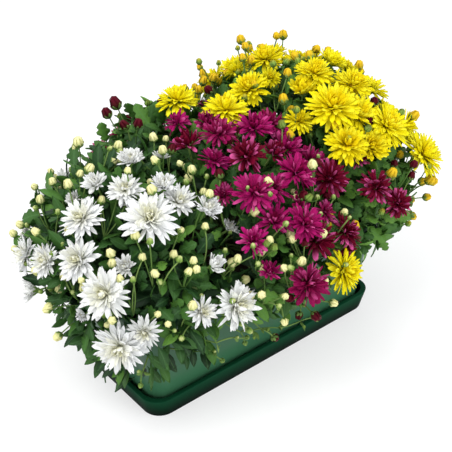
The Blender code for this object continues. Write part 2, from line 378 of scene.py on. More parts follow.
low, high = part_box("drip_tray")
flare = high.x - TRAY_FOOT_LENGTH / 2.0
size = start_moulding(TRAY_FOOT_LENGTH, TRAY_FOOT_WIDTH, TRAY_CORNER, low.z, high.z, flare)
size = push(size, 0.0, -TRAY_BEAD)
size = push(size, -TRAY_BEAD, TRAY_BEAD - TRAY_WALL)
inner_depth = high.z - low.z - TRAY_WALL - TRAY_BEAD
push(size, -inner_depth, -flare * inner_depth / (high.z - low.z))
tray_green = green_plastic("tray_green", (0.003, 0.040, 0.017), (0.007, 0.056, 0.025),
                           gloss=0.02, dullness=0.55, dust=0.01, painted_light_share=0.0, painted_shade_height=0.037)
tray = finish_moulding("tray", tray_green, 0.0012)
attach(tray, "root")
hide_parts("drip_tray")

# ------------------------ the compost
# Moist dark peat filled in loose to just under the lip. Its CAD solid stays, with a
# crumbly surface, and so do the plants' woody crowns on it.

peat = Finish("peat", Roughness=0.92)
place = peat.place()
crumbs = peat.node("ShaderNodeTexVoronoi", {}, {"Vector": place, "Scale": 260.0})
fibres = peat.noise(place, 90.0, 6.0)
peat.feed(Base_Color=peat.mix(fibres, (0.012, 0.007, 0.004), (0.060, 0.038, 0.022)))
peat.bump(crumbs + fibres * 2.0, 0.0012)
dress(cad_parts["compost"], peat.material)

bark = Finish("woody_crown", Roughness=0.8)
place = bark.place()
ridges = bark.noise(bark.node("ShaderNodeMapping", {}, {"Vector": place, "Scale": (1.0, 1.0, 0.2)}), 500.0)
bark.feed(Base_Color=bark.mix(ridges, (0.06, 0.07, 0.02), (0.22, 0.24, 0.09)))
bark.bump(ridges, 0.0004)
PLANTS = ("white", "magenta", "yellow")
for plant in PLANTS:
    dress(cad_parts[f"{plant}_stems"], bark.material)

# ------------------------ the leaves
# Lobed and plain leaves, slightly folded, dark green with paler veins, set all round
# the many thin branches. The outer ones are small and painted lighter, the inner ones large
# and painted darker as shade, and taller shoots stand behind the white and magenta tops.

ATLAS = 16                      # tiles along each side of every growing piece's map
TILE_MARGIN = 0.06
LIFTED = 2.0                    # rows of a blade that are already set wait this much higher
STALK_LENGTH = 0.05             # how much of a blade stays narrow at its root


def pattern():
    """Take the active object's shape as arrays, and remove the object.

    Its map runs from 0 to 1 across X, and along Y as the shape itself does.
    """
    item = bpy.context.object
    if item.mode != "OBJECT":
        bpy.ops.object.mode_set(mode="OBJECT")
    mesh = item.data
    places = np.array([vert.co for vert in mesh.vertices])
    loops = np.array([loop.vertex_index for loop in mesh.loops])
    sizes = np.array([len(face.vertices) for face in mesh.polygons])
    bpy.data.objects.remove(item, do_unlink=True)
    across = places[:, 0] / (2.0 * np.abs(places[:, 0]).max()) + 0.5
    flat = np.stack([across, places[:, 1]], axis=1)[loops]
    return {"verts": places, "loops": loops, "sizes": sizes, "map": np.clip(flat, 0.0, 1.0)}


def blade(rows, forward, fold, thickness):
    """A leaf or petal one unit long, as rows of (place along it, half width).

    forward sets the rows' outer ends on towards the tip, and fold lowers the middle.
    """
    deselect()
    bpy.ops.mesh.primitive_grid_add(x_subdivisions=2, y_subdivisions=len(rows) - 1, size=1.0)
    bpy.ops.object.mode_set(mode="EDIT")
    bpy.ops.mesh.select_mode(type="VERT")
    step = 1.0 / (len(rows) - 1)
    for number, (along, half_width) in enumerate(rows):
        line = -0.5 + step * number
        pick(lambda place: place.z == 0.0 and abs(place.y - line) < NEAR)
        bpy.ops.transform.resize(value=(2.0 * half_width, 1.0, 1.0), center_override=ORIGIN)
        bpy.ops.transform.translate(value=(0.0, along - line, LIFTED))
    bpy.ops.mesh.select_all(action="SELECT")
    bpy.ops.transform.translate(value=(0.0, 0.0, -LIFTED))
    pick(lambda place: abs(place.x) < NEAR)
    bpy.ops.transform.translate(value=(0.0, 0.0, -fold))
    pick(lambda place: abs(place.x) > NEAR and place.y > STALK_LENGTH)
    bpy.ops.transform.translate(value=(0.0, forward, 0.0))
    bpy.ops.object.mode_set(mode="OBJECT")
    shell = bpy.context.object.modifiers.new("thickness", "SOLIDIFY")
    shell.thickness = thickness
    shell.offset = 0.0
    bpy.ops.object.modifier_apply(modifier="thickness")
    return pattern()


def bent(shape, length, width, depth, tilt, curl, start=0.0, roll=0.0):
    """Bend copies of a pattern, which runs out along +Y. Each argument may be an array.

    A copy begins at start from the axis, rising by the angle tilt, and gains curl.
    roll lifts one side of it over the other.
    """
    points = shape["verts"][None, :, :]
    length, width, depth, tilt, curl, start, roll = (
        np.asarray(value, float).reshape(-1, 1)
        for value in (length, width, depth, tilt, curl, start, roll))
    curl = np.where(np.abs(curl) < 0.001, 0.001, curl)
    angle = tilt + curl * points[:, :, 1]
    away = start + length * (np.sin(angle) - np.sin(tilt)) / curl
    up = length * (np.cos(tilt) - np.cos(angle)) / curl
    aside = points[:, :, 0] * width + 0.0 * away
    rise = points[:, :, 2] * depth + roll * aside
    return np.stack([aside, away - rise * np.sin(angle),
                     up + rise * np.cos(angle)], axis=2)


def spun(points, angle):
    """Turn each copy about its own upright axis."""
    cosine = np.cos(angle).reshape(-1, 1)
    sine = np.sin(angle).reshape(-1, 1)
    x, y, z = points[:, :, 0], points[:, :, 1], points[:, :, 2]
    return np.stack([x * cosine - y * sine, x * sine + y * cosine, z], axis=2)


def placed(points, axes, places):
    """Set each copy along its own three axes, out from its own place."""
    return np.einsum("cvk,ckj->cvj", points, axes) + places[:, None, :]


def unit(vectors):
    return vectors / np.linalg.norm(vectors, axis=-1, keepdims=True)


def aimed(forward, face):
    """Axes whose Y runs forward and whose Z leans to face, one set for each row."""
    forward = unit(forward)
    side = unit(np.cross(forward, face))
    return np.stack([side, forward, np.cross(side, forward)], axis=1)


def grown(name, batches, material):
    """Join batches of (pattern, points, tile columns, tile rows) as one piece."""
    verts, loops, sizes, maps, start = [], [], [], [], 0
    for shape, points, columns, rows in batches:
        count, per_copy = points.shape[:2]
        verts.append(points.reshape(-1, 3))
        shift = start + per_copy * np.arange(count)[:, None]
        loops.append((shape["loops"][None, :] + shift).ravel())
        sizes.append(np.tile(shape["sizes"], count))
        tile = np.stack([np.broadcast_to(columns, count), np.broadcast_to(rows, count)], axis=1)
        shrunk = TILE_MARGIN + (1.0 - 2.0 * TILE_MARGIN) * shape["map"]
        maps.append(((tile[:, None, :] + shrunk[None, :, :]) / ATLAS).reshape(-1, 2))
        start += count * per_copy
    verts, loops, sizes, maps = (np.concatenate(each) for each in (verts, loops, sizes, maps))
    mesh = bpy.data.meshes.new(name)
    mesh.vertices.add(len(verts))
    mesh.vertices.foreach_set("co", verts.ravel())
    mesh.loops.add(len(loops))
    mesh.loops.foreach_set("vertex_index", loops)
    mesh.polygons.add(len(sizes))
    mesh.polygons.foreach_set("loop_start", np.cumsum(sizes) - sizes)
    mesh.uv_layers.new(name="OFBake").data.foreach_set("uv", maps.ravel())
    mesh.update(calc_edges=True)
    mesh.shade_smooth()
    mesh.materials.append(material)
    piece = bpy.data.objects.new(name, mesh)
    bpy.context.scene.collection.objects.link(piece)
    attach(piece, "root")
    return piece


TROUGH_HIGH = np.array(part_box("window_box")[1])
BESIDE_TROUGH, OVER_LIP = 0.012, 0.006         # skin this close over the trough stays bare
TRIES = 6.0                     # random places tried for each that could be kept


def skin_of(plant):
    """The triangles of a leaf mass's outer skin, each with its unit normal and area."""
    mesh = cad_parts[f"{plant}_leaves"].data
    mesh.calc_loop_triangles()
    places = np.array([vert.co for vert in mesh.vertices])
    corners = places[np.array([face.vertices[:] for face in mesh.loop_triangles])]
    across = np.cross(corners[:, 1] - corners[:, 0], corners[:, 2] - corners[:, 0])
    area = np.linalg.norm(across, axis=1) / 2.0
    normals = across / (2.0 * area[:, None] + 1e-12)
    middle = corners.mean(axis=1)
    division = np.abs(np.abs(normals[:, 0]) - 1.0) < NEAR
    over_trough = np.all(np.abs(middle[:, :2]) < TROUGH_HIGH[:2] + BESIDE_TROUGH, axis=1)
    outer = ~(division | (over_trough & (middle[:, 2] < TROUGH_HIGH[2] + OVER_LIP)))
    return corners[outer], normals[outer], area[outer]


SKIN = {plant: skin_of(plant) for plant in PLANTS}
EVERYWHERE = (((-1.0, -1.0, -1.0), (1.0, 1.0, 1.0)),)
NOWHERE = ()


def inside(place, boxes):
    return any(np.all(place > low) and np.all(place < high) for low, high in boxes)


def spaced(plant, spacing, draw, where=EVERYWHERE, bare=NOWHERE, taken=()):
    """Random places on a plant's skin, at least spacing apart and clear of what is taken.

    where and bare list the boxes to use and to leave, and taken (place, clearance) pairs.
    """
    corners, normals, area = SKIN[plant]
    tries = int(TRIES * area.sum() / spacing ** 2)
    chosen = draw.choice(len(area), tries, p=area / area.sum())
    first, second = np.sqrt(draw.rand(tries)), draw.rand(tries)
    weights = np.stack([1.0 - first, first * (1.0 - second), first * second], axis=1)
    places = np.einsum("ck,ckj->cj", weights, corners[chosen])
    kept = []
    for index, place in enumerate(places):
        if not inside(place, where) or inside(place, bare):
            continue
        if any(np.linalg.norm(place - other) < clearance for other, clearance in taken):
            continue
        if kept and np.min(np.sum((places[kept] - place) ** 2, axis=1)) < spacing ** 2:
            continue
        kept.append(index)
    return places[kept], normals[chosen[kept]]


def map_parts(finish):
    """Read a growing piece's map: along and aside in a tile, its column and row."""
    where = finish.node("ShaderNodeUVMap", {"uv_map": "OFBake"}, {})
    run = finish.node("ShaderNodeSeparateXYZ", {}, {0: where}) * ATLAS
    rise = finish.node("ShaderNodeSeparateXYZ", {}, {0: where}, 1) * ATLAS
    return where, rise.fraction(), abs(run.fraction() - 0.5) * 2.0, run.floor(), rise.floor()


def chance(finish, column, row):
    """A random number for each tile."""
    tile = finish.node("ShaderNodeCombineXYZ", {}, {0: column, 1: row})
    return finish.node("ShaderNodeTexWhiteNoise", {"noise_dimensions": "2D"}, {"Vector": tile})


def leaf_finish():
    """Leaf green, darker or lighter from leaf to leaf by its tile's row, with a paler midrib and veins; the
    dark rows of the deep layers are painted shade.
    """
    finish = Finish("leaf_green", Specular_IOR_Level=0.25)
    where, along, aside, column, row = map_parts(finish)
    # lighter with the tile's row: deep leaves get dark rows as painted shade, top leaves light rows as
    # painted light
    row_lightness = row / (ATLAS - 1.0)
    tint = chance(finish, column, row) * 0.45 + row_lightness * 0.55
    midrib = 1.0 - aside.between(0.03, 0.14)
    side_veins = (along * 40.0 - aside * 9.0).sine().between(0.80, 1.0) * (1.0 - aside)
    veins = midrib * 0.65 + side_veins * 0.35
    # tile rows run from near black to light green; the darkest serve as painted shade deep in the mass
    green = finish.node("ShaderNodeValToRGB", {"stops": (
        (0.0, (0.003, 0.014, 0.004)), (0.35, (0.014, 0.056, 0.012)),
        (0.70, (0.056, 0.160, 0.022)), (1.0, (0.190, 0.410, 0.056)))}, {"Fac": tint})
    mottled = finish.mix(finish.noise(where, 230.0, 2.0) * 0.35, green, (0.009, 0.036, 0.010))
    finish.feed(Base_Color=finish.mix(veins * 0.4, mottled, (0.080, 0.205, 0.060)),
                Roughness=0.46 + tint * 0.2)
    finish.bump(1.0 - veins, 0.0005, 0.6)
    return finish.material


LOBED_LEAF = blade((
    (0.00, 0.012), (0.17, 0.018), (0.25, 0.15), (0.35, 0.21), (0.42, 0.13), (0.52, 0.28),
    (0.63, 0.29), (0.70, 0.17), (0.82, 0.22), (0.93, 0.12), (1.00, 0.02)), 0.04, 0.035, 0.009)
PLAIN_LEAF = blade((
    (0.00, 0.014), (0.12, 0.022), (0.28, 0.13), (0.46, 0.20), (0.66, 0.19), (0.85, 0.11),
    (1.00, 0.012)), 0.0, 0.035, 0.009)
leaf_green = leaf_finish()
RIDGE = (                       # behind the white and magenta tops, where shoots stand taller
    ((-1.0, 0.055, 0.20), (0.0, 1.0, 1.0)),
    ((-1.0, 0.0, 0.16), (-0.13, 1.0, 1.0)),
)
LEAF_LAYERS = (                 # spacing, depth under the skin, length, lift, lightest row, where; deeper layers take darker rows as painted shade
    (0.0230, -0.005, 0.026, 1.20, 15, EVERYWHERE),
    (0.0158, 0.002, 0.031, 0.85, 14, EVERYWHERE),
    (0.0200, 0.018, 0.040, 0.50, 10, EVERYWHERE),
    (0.0290, 0.040, 0.056, 0.25, 5, EVERYWHERE),
    (0.0480, 0.066, 0.075, 0.10, 2, EVERYWHERE),
    (0.0200, -0.012, 0.034, 0.90, 13, RIDGE),
    (0.0260, -0.022, 0.032, 1.00, 15, RIDGE),
)
# lighter leaf rows on the magenta and yellow plants: partly their own paler leaves, partly painted light
# against the shade on the right and under the blooms
PLANT_ROW_LIGHTNESS = {"white": -1, "magenta": 3, "yellow": 5}
PLAIN_SHARE = {"white": 0.6, "magenta": 0.4, "yellow": 0.35}
AGES = 9                        # rows of tiles that one layer's leaves spread over
SKYWARD = np.array([0.0, 0.0, 0.35])


def leaf_copies(shape, places, normals, depth, length, lift, lightest_row, draw):
    """Leaves that spread from their places, lifted off the skin and turned to the sky."""
    count = len(places)
    around = unit(np.cross(normals, draw.normal(size=(count, 3))))
    forward = around + normals * (lift + 0.35 * draw.normal(size=(count, 1))) + SKYWARD
    face = normals + 0.45 * draw.normal(size=(count, 3)) + SKYWARD
    roots = places - normals * (depth + 0.4 * length * lift) - unit(forward) * length * 0.3
    long = length * (0.75 + 0.5 * draw.rand(count))
    curl = np.radians(-38.0 + 26.0 * draw.normal(size=count))
    points = bent(shape, long, long * 0.92, long, -0.5 * curl, curl)
    # the deeper the layer, the darker its rows: painted shade
    rows = np.clip(lightest_row - draw.randint(0, AGES, count), 0, ATLAS - 1)
    return (shape, placed(points, aimed(forward, face), roots), draw.randint(0, ATLAS, count), rows)


for number, plant in enumerate(PLANTS):
    draw = np.random.RandomState(10 + number)
    batches = []
    for spacing, depth, length, lift, lightest_row, where in LEAF_LAYERS:
        places, normals = spaced(plant, spacing, draw, where)
        plain = draw.rand(len(places)) < PLAIN_SHARE[plant]
        for shape, some in ((PLAIN_LEAF, plain), (LOBED_LEAF, ~plain)):
            batches.append(leaf_copies(shape, places[some], normals[some], depth, length, lift,
                                       lightest_row + PLANT_ROW_LIGHTNESS[plant], draw))
    foliage = grown(f"{plant}_foliage", batches, leaf_green)
    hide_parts(f"{plant}_leaves")

# ------------------------ the branches
# Thin upright branches, each two curved lengths on its way from a woody crown to just
# under the skin of the leaf mass. They show between the leaves.

BUD_ROW, YOUNG_ROW, STALK_ROW, SCALE_ROW = 11, 12, 13, 14   # tiles that are not open petals


def lay_along():
    """Turn the new primitive from upright to run out along +Y, and start to edit it."""
    bpy.ops.transform.rotate(value=math.radians(90.0), orient_axis="X", center_override=ORIGIN)
    bpy.ops.object.transform_apply()
    bpy.ops.object.mode_set(mode="EDIT")
    bpy.ops.mesh.select_all(action="SELECT")
    bpy.ops.transform.translate(value=(0.0, 0.5, 0.0))


def rod(sides, steps):
    """A round stalk one unit long and one unit thick, along +Y."""
    deselect()
    bpy.ops.mesh.primitive_cylinder_add(vertices=sides, radius=0.5, depth=1.0)
    lay_along()
    for step in range(1, steps):
        bpy.ops.mesh.select_all(action="SELECT")
        bpy.ops.mesh.bisect(plane_co=(0.0, step / steps, 0.0), plane_no=(0.0, 1.0, 0.0))
    return pattern()


ROD = rod(6, 5)


def strands(starts, ends, thickness, curl, face, draw):
    """Round stalks from starts to ends, each curved by the angle curl towards face."""
    chord = ends - starts
    reach = np.linalg.norm(chord, axis=1)
    curl = np.broadcast_to(np.asarray(curl, float), reach.shape)
    length = reach * (curl / 2.0) / np.sin(curl / 2.0)
    points = bent(ROD, length, thickness, thickness, -curl / 2.0, curl)
    count = len(reach)
    return (ROD, placed(points, aimed(chord, face), starts),
            draw.randint(0, ATLAS, count), draw.randint(STALK_ROW, ATLAS, count))


def stalk_finish():
    """Young stalks: pale yellowish green, duller and browner towards the crown."""
    finish = Finish("stalk_green", Specular_IOR_Level=0.4)
    where, along, aside, column, row = map_parts(finish)
    tint = chance(finish, column, row)
    green = finish.mix(tint, (0.060, 0.115, 0.026), (0.135, 0.210, 0.060))
    aged = finish.mix(along.between(0.0, 0.7), (0.080, 0.082, 0.030), green)
    ridges = (aside * 22.0).sine()
    finish.feed(Base_Color=aged, Roughness=0.5 + tint * 0.15)
    finish.bump(ridges, 0.0002)
    return finish.material


stalk_green = stalk_finish()
BRANCH_THICKNESS = 0.0036
BRANCH_SPACING = 0.042          # between the branches' tips, on the skin
TIP_DEPTH = 0.012
FORK_SHARE = 0.45               # how far out from the crown a branch bends
FORK_SCATTER = 0.006
CROWN_SPREAD = np.array([0.008, 0.008, 0.0])
for number, plant in enumerate(PLANTS):
    draw = np.random.RandomState(30 + number)
    low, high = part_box(f"{plant}_stems")
    crown = np.array([(low.x + high.x) / 2.0, (low.y + high.y) / 2.0, high.z])
    tips, normals = spaced(plant, BRANCH_SPACING, draw)
    tips = tips - normals * TIP_DEPTH
    forks = crown + (tips - crown) * FORK_SHARE + draw.normal(size=tips.shape) * FORK_SCATTER
    forks[:, 2] = np.maximum(forks[:, 2], crown[2] + 0.02)
    bases = crown + draw.normal(size=tips.shape) * CROWN_SPREAD - SKYWARD * 0.02
    up = SKYWARD + 0.0 * tips
    branches = grown(f"{plant}_branches", (
        strands(bases, forks, BRANCH_THICKNESS, 0.35, -up, draw),
        strands(forks, tips, BRANCH_THICKNESS * 0.7, -0.35, up, draw)), stalk_green)

# ------------------------ the blooms
# Double chrysanthemums: rings of long narrow petals on a green base, nearly flat at
# the outside and ever shorter and steeper to the middle. White ones have blunt tips
# and a creamy heart, magenta ones are shaggy, yellow ones are full and domed.

PETAL = {
    "white": blade(((0.0, 0.17), (0.28, 0.36), (0.60, 0.5), (0.86, 0.36), (1.0, 0.06)), 0.0, 0.16, 0.08),
    "magenta": blade(((0.0, 0.18), (0.35, 0.38), (0.72, 0.5), (0.93, 0.36), (1.0, 0.14)), 0.0, 0.22, 0.09),
    "yellow": blade(((0.0, 0.24), (0.45, 0.46), (0.80, 0.5), (1.0, 0.16)), 0.0, 0.20, 0.10),
}
SCALE = blade(((0.0, 0.3), (0.4, 0.5), (0.8, 0.34), (1.0, 0.06)), 0.0, 0.12, 0.10)
RINGS = {                       # petals, length, rise and curl in degrees, from the outside in
    "white": ((20, 1.00, 4, -14), (20, 0.94, 16, -8), (18, 0.83, 30, 4), (15, 0.66, 45, 18),
              (12, 0.47, 59, 34), (9, 0.30, 71, 44)),
    "magenta": ((20, 1.00, 2, -20), (20, 0.96, 13, -12), (18, 0.88, 26, -4), (16, 0.72, 41, 10),
                (13, 0.52, 56, 24), (9, 0.32, 70, 36)),
    "yellow": ((24, 0.98, -4, -26), (24, 0.97, 10, -22), (22, 0.91, 24, -14), (20, 0.82, 38, 0),
               (17, 0.69, 52, 16), (13, 0.53, 65, 34), (9, 0.40, 77, 46)),
}
SHAGGY = {"white": 0.65, "magenta": 1.0, "yellow": 0.35}
PETAL_WIDTH = {"white": 0.208, "magenta": 0.175, "yellow": 0.185}
LAST_RING_ROW = 9


def knob():
    """The rounded green base under a bloom, and the body of a bud, along +Y."""
    deselect()
    bpy.ops.mesh.primitive_uv_sphere_add(segments=8, ring_count=6, radius=0.5)
    lay_along()
    return pattern()


KNOB = knob()


def petal_finish(kind, outer, inner, base, depth_of_tone, glint, glint_share, bud, bud_base):
    """Petals by ring, deeper in the inner rings and at the base (partly painted shade), with fine ribs and a
    painted highlight on some; below them, stalk and scales.
    """
    finish = Finish(f"{kind}_petals", Specular_IOR_Level=0.10)
    where, along, aside, column, row = map_parts(finish)
    tint = chance(finish, column, row)
    tone = (column / 4.0).floor() / 3.0
    # inner rings and petal bases take deeper colours: the white's cream heart is its own colour; the
    # magenta's and yellow's darker centres are partly their own colour and partly painted shade
    depth = (row / LAST_RING_ROW).between(0.25, 1.0)
    ring = finish.mix(depth, outer, inner)
    toned = finish.mix(tone * depth_of_tone, ring, base)
    body = finish.mix((1.0 - along.between(0.0, 0.45)) * 0.75, toned, base)
    streaked = finish.mix((aside * 14.0 + tint * 5.0).sine() * 0.04 + 0.04, body, base)
    # painted highlight: the glint colour laid towards the tips of some petals
    lit = finish.mix(tint.between(1.0 - glint_share, 1.0) * along.between(0.35, 0.9) * 0.8, streaked, glint)
    ripe_bud = finish.mix(along.between(0.08, 0.70), bud_base, bud)
    young_bud = finish.mix(along.between(0.5, 1.0) * 0.55, (0.20, 0.33, 0.06), bud)
    closed = finish.mix(row.above(YOUNG_ROW - 0.5), ripe_bud, young_bud)
    is_bud = row.above(BUD_ROW - 0.5)
    is_stalk = row.above(STALK_ROW - 0.5)
    green = finish.mix(tint, (0.070, 0.150, 0.030), (0.220, 0.330, 0.090))
    finish.feed(Base_Color=finish.mix(is_stalk, finish.mix(is_bud, lit, closed), green),
                Roughness=0.55 + tint * 0.15)
    finish.bump((aside * 19.0).sine() * 0.5 * (1.0 - is_bud) + tint, 0.00025)
    return finish.material


PETALS = {
    "white": petal_finish(
        "white", outer=(0.93, 0.94, 0.945), inner=(0.90, 0.88, 0.58), base=(0.80, 0.81, 0.56),
        depth_of_tone=0.10, glint=(0.96, 0.97, 0.98), glint_share=0.6,
        bud=(0.85, 0.82, 0.40), bud_base=(0.36, 0.47, 0.10)),
    "magenta": petal_finish(
        "magenta", outer=(0.56, 0.012, 0.205), inner=(0.29, 0.002, 0.052), base=(0.150, 0.001, 0.013),
        depth_of_tone=0.95, glint=(0.80, 0.13, 0.40), glint_share=0.26,
        bud=(0.085, 0.002, 0.010), bud_base=(0.050, 0.026, 0.010)),
    "yellow": petal_finish(
        "yellow", outer=(0.97, 0.87, 0.006), inner=(0.96, 0.74, 0.004), base=(0.92, 0.60, 0.003),
        depth_of_tone=0.30, glint=(0.98, 0.93, 0.04), glint_share=0.5,
        bud=(0.74, 0.49, 0.016), bud_base=(0.28, 0.32, 0.030)),
}
CLOSED_RISE, CLOSED_CURL = 76.0, 35.0          # degrees, of every petal in a closed bloom
SCALES = 8                      # green scales round the base of a bloom
BLOOM_STALK = 0.0026


def round_axes(axis, draw):
    """Axes whose Z is a bloom's or a bud's own axis, turned about it at random."""
    axis = unit(np.asarray(axis, float))
    axes = aimed(np.cross(axis, draw.normal(size=3))[None, :], axis[None, :])
    return np.stack([axes[:, 0], axes[:, 1], axis[None, :]], axis=1)


def whorl(points, axes, seat, turn):
    """Set copies round one seat, each turned about its axis by its own angle."""
    return placed(spun(points, turn), np.repeat(axes, len(points), axis=0), seat[None, :])


def petal_ring(kind, number, axes, seat, radius, openness, fullness, tone, draw):
    """One ring of petals, each with its own rise, curl, length, width, roll and turn."""
    count, length, rise, curl = RINGS[kind][number]
    inward = number / (len(RINGS[kind]) - 1.0)
    count = round(count * fullness)
    rise = rise + (1.0 - openness) * (CLOSED_RISE - rise)
    tilt = np.radians(rise + (4.0 + SHAGGY[kind] * 9.0) * draw.normal(size=count))
    bend = np.radians(curl * openness + CLOSED_CURL * (1.0 - openness)
                      + (8.0 + SHAGGY[kind] * 18.0) * draw.normal(size=count))
    long = 1.04 - (0.10 + 0.16 * SHAGGY[kind]) * draw.rand(count) ** 1.5
    long = radius * length * long * (0.7 + 0.3 * openness)
    wide = radius * PETAL_WIDTH[kind] * (1.0 - 0.35 * inward) * (0.8 + 0.4 * draw.rand(count))
    points = bent(PETAL[kind], long, wide, wide, tilt, bend, radius * 0.11 * (1.0 - inward),
                  SHAGGY[kind] * 0.8 * draw.normal(size=count))
    points[:, :, 2] += radius * 0.07 * inward
    turn = 2.0 * math.pi * (np.arange(count) + 0.5 * number + 0.22 * draw.normal(size=count)) / count
    row = int(round(LAST_RING_ROW * inward))
    return (PETAL[kind], whorl(points, axes, seat, turn), tone + draw.randint(0, 4, count), row)


def calyx(axes, seat, radius, openness, tone):
    """The scales and the rounded base that hold a bloom's petals."""
    scales = bent(SCALE, np.full(SCALES, radius * 0.42), radius * 0.17, radius * 0.17,
                  math.radians(12.0 + 50.0 * (1.0 - openness)), 0.5, radius * 0.06)
    scales[:, :, 2] -= radius * 0.09
    turn = 2.0 * math.pi * np.arange(SCALES) / SCALES
    base = bent(KNOB, radius * 0.24, radius * 0.34, radius * 0.34, math.radians(90.0), 0.0)
    base[:, :, 2] -= radius * 0.20
    return [(SCALE, whorl(scales, axes, seat, turn), tone, SCALE_ROW),
            (KNOB, placed(base, axes, seat[None, :]), tone, SCALE_ROW)]


def bloom(kind, foot, head, axis, radius, openness, draw, fullness=1.0):
    """All of one bloom: petals ring by ring, its green base and scales, and its stalk.

    Its tone is one of four: magenta ones deepen to the right, the rest as they close.
    """
    axes = round_axes(axis, draw)
    axis = axes[0, 2]
    seat = head - axis * radius * 0.16
    ripe = 1.9 + head[0] * 15.0 if kind == "magenta" else 3.0 * (1.0 - openness)
    tone = 4 * int(np.clip(round(ripe + 0.8 * draw.normal()), 0, 3))
    batches = [petal_ring(kind, number, axes, seat, radius, openness, fullness, tone, draw)
               for number in range(len(RINGS[kind]))]
    batches += calyx(axes, seat, radius, openness, tone)
    batches.append(strands(foot[None, :], (seat - axis * radius * 0.08)[None, :], BLOOM_STALK,
                           0.2, axes[:, 1], draw))
    return batches


def growth(node):
    """Read a turned CAD bloom or bud: its foot, head, axis and radius."""
    places = np.unique(np.round([vert.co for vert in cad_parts[node].data.vertices], 6), axis=0)
    middle = places.mean(axis=0)
    values, vectors = np.linalg.eigh(np.cov((places - middle).T))
    gaps = np.abs(values[:, None] - values[None, :]).sum(axis=1)
    axis = vectors[:, int(np.argmax(gaps))]
    along = (places - middle) @ axis
    away = np.linalg.norm(places - middle - along[:, None] * axis, axis=1)
    wide = along[away > 0.95 * away.max()].mean()
    if wide - along.min() < along.max() - wide:
        axis, along, wide = -axis, -along, -wide
    return middle + axis * along.min(), middle + axis * wide, axis, away.max()


BLOOM_NODES = sorted(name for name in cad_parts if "_bloom_" in name)
BUD_NODES = sorted(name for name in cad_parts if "_bud_" in name)
GROWTH = {node: growth(node) for node in BLOOM_NODES + BUD_NODES}
BLOOM_FULLNESS = {"white": 1.08, "magenta": 1.08, "yellow": 1.18}
HALF_OPEN_RADIUS = 0.0195       # white heads up to this size are still cups
HALF_OPEN = 0.62
for number, node in enumerate(BLOOM_NODES):
    kind = node.split("_")[0]
    draw = np.random.RandomState(100 + number)
    foot, head, axis, radius = GROWTH[node]
    openness = 1.0 - 0.12 * draw.rand()
    if kind == "white" and radius < HALF_OPEN_RADIUS:
        openness *= HALF_OPEN
    petals = bloom(kind, foot, head, axis, radius * BLOOM_FULLNESS[kind], openness, draw)
    piece = grown(f"{node}_petals", petals, PETALS[kind])
    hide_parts(node)

# Between these stand smaller and half-open blooms, but not on white's top and back,
# magenta's ridge or low on yellow's front, where a few magenta heads lean over.

MORE_BLOOMS = (                 # piece, kind, plant, spacing, radii, least opening, seed, where, bare
    ("magenta_stray_blooms", "magenta", "yellow", 0.046, (0.016, 0.027), 0.50, 203,
     (((0.085, -1.0, 0.240), (0.130, -0.06, 0.310)),), NOWHERE),
    ("white_smaller_blooms", "white", "white", 0.050, (0.010, 0.024), 0.10, 200,
     (((-1.0, -1.0, 0.150), (1.0, 1.0, 1.0)),), (((-1.0, 0.035, 0.205), (1.0, 1.0, 1.0)),)),
    ("magenta_smaller_blooms", "magenta", "magenta", 0.036, (0.016, 0.027), 0.50, 201,
     (((-1.0, -1.0, 0.165), (1.0, 1.0, 1.0)),), (((-1.0, 0.045, 0.235), (0.045, 1.0, 1.0)),)),
    ("yellow_smaller_blooms", "yellow", "yellow", 0.039, (0.014, 0.030), 0.35, 202,
     (((-1.0, -1.0, 0.205), (1.0, 1.0, 1.0)),), (((-1.0, -1.0, -1.0), (1.0, -0.055, 0.270)),)),
)
SMALLER_FULLNESS = 0.72         # of the petals that a large bloom's rings have
HEAD_SHARE = 0.95               # of a head's radius that others keep clear of
BLOOM_ROOM = 0.009              # how far a petal or a bud may stand beyond the plants' box
FARTHEST_LOW = np.array(cad_box[0]) - BLOOM_ROOM
FARTHEST_HIGH = np.array(cad_box[1]) + BLOOM_ROOM


def outside(head, radius):
    return np.any(head - radius < FARTHEST_LOW) or np.any(head + radius > FARTHEST_HIGH)


heads = {plant: [] for plant in PLANTS}
for node in BLOOM_NODES:
    heads[node.split("_")[0]].append((GROWTH[node][1], GROWTH[node][3]))
all_heads = [head for plant in PLANTS for head in heads[plant]]
for name, kind, plant, spacing, (smallest, largest), least_open, seed, where, bare in MORE_BLOOMS:
    draw = np.random.RandomState(seed)
    taken = [(place, radius * HEAD_SHARE + smallest) for place, radius in all_heads]
    places, normals = spaced(plant, spacing, draw, where, bare, taken)
    batches = []
    for place, normal in zip(places, normals):
        openness = least_open + (1.0 - least_open) * draw.rand()
        radius = smallest + (largest - smallest) * draw.rand()
        axis = unit(normal + SKYWARD + 0.2 * draw.normal(size=3))
        head = place + axis * (0.010 + 0.010 * draw.rand())
        if outside(head, radius * 0.8):
            continue
        batches += bloom(kind, place - normal * 0.02, head, axis, radius, openness, draw, SMALLER_FULLNESS)
        heads[plant].append((head, radius))
        all_heads.append((head, radius))
    piece = grown(name, batches, PETALS[kind])

# ------------------------ the buds
# Egg-shaped buds on thin forked stalks, each a tight ball of petals held in a cup of
# green scales: cream on the white plant, dark red and golden on the other two.

BUD_STALK = 0.0017
WRAPPED = 6                     # petals, and as many scales, that close round a bud
SCALE_BULGE = 0.738             # what a scale curled right over a bud reaches, of its length


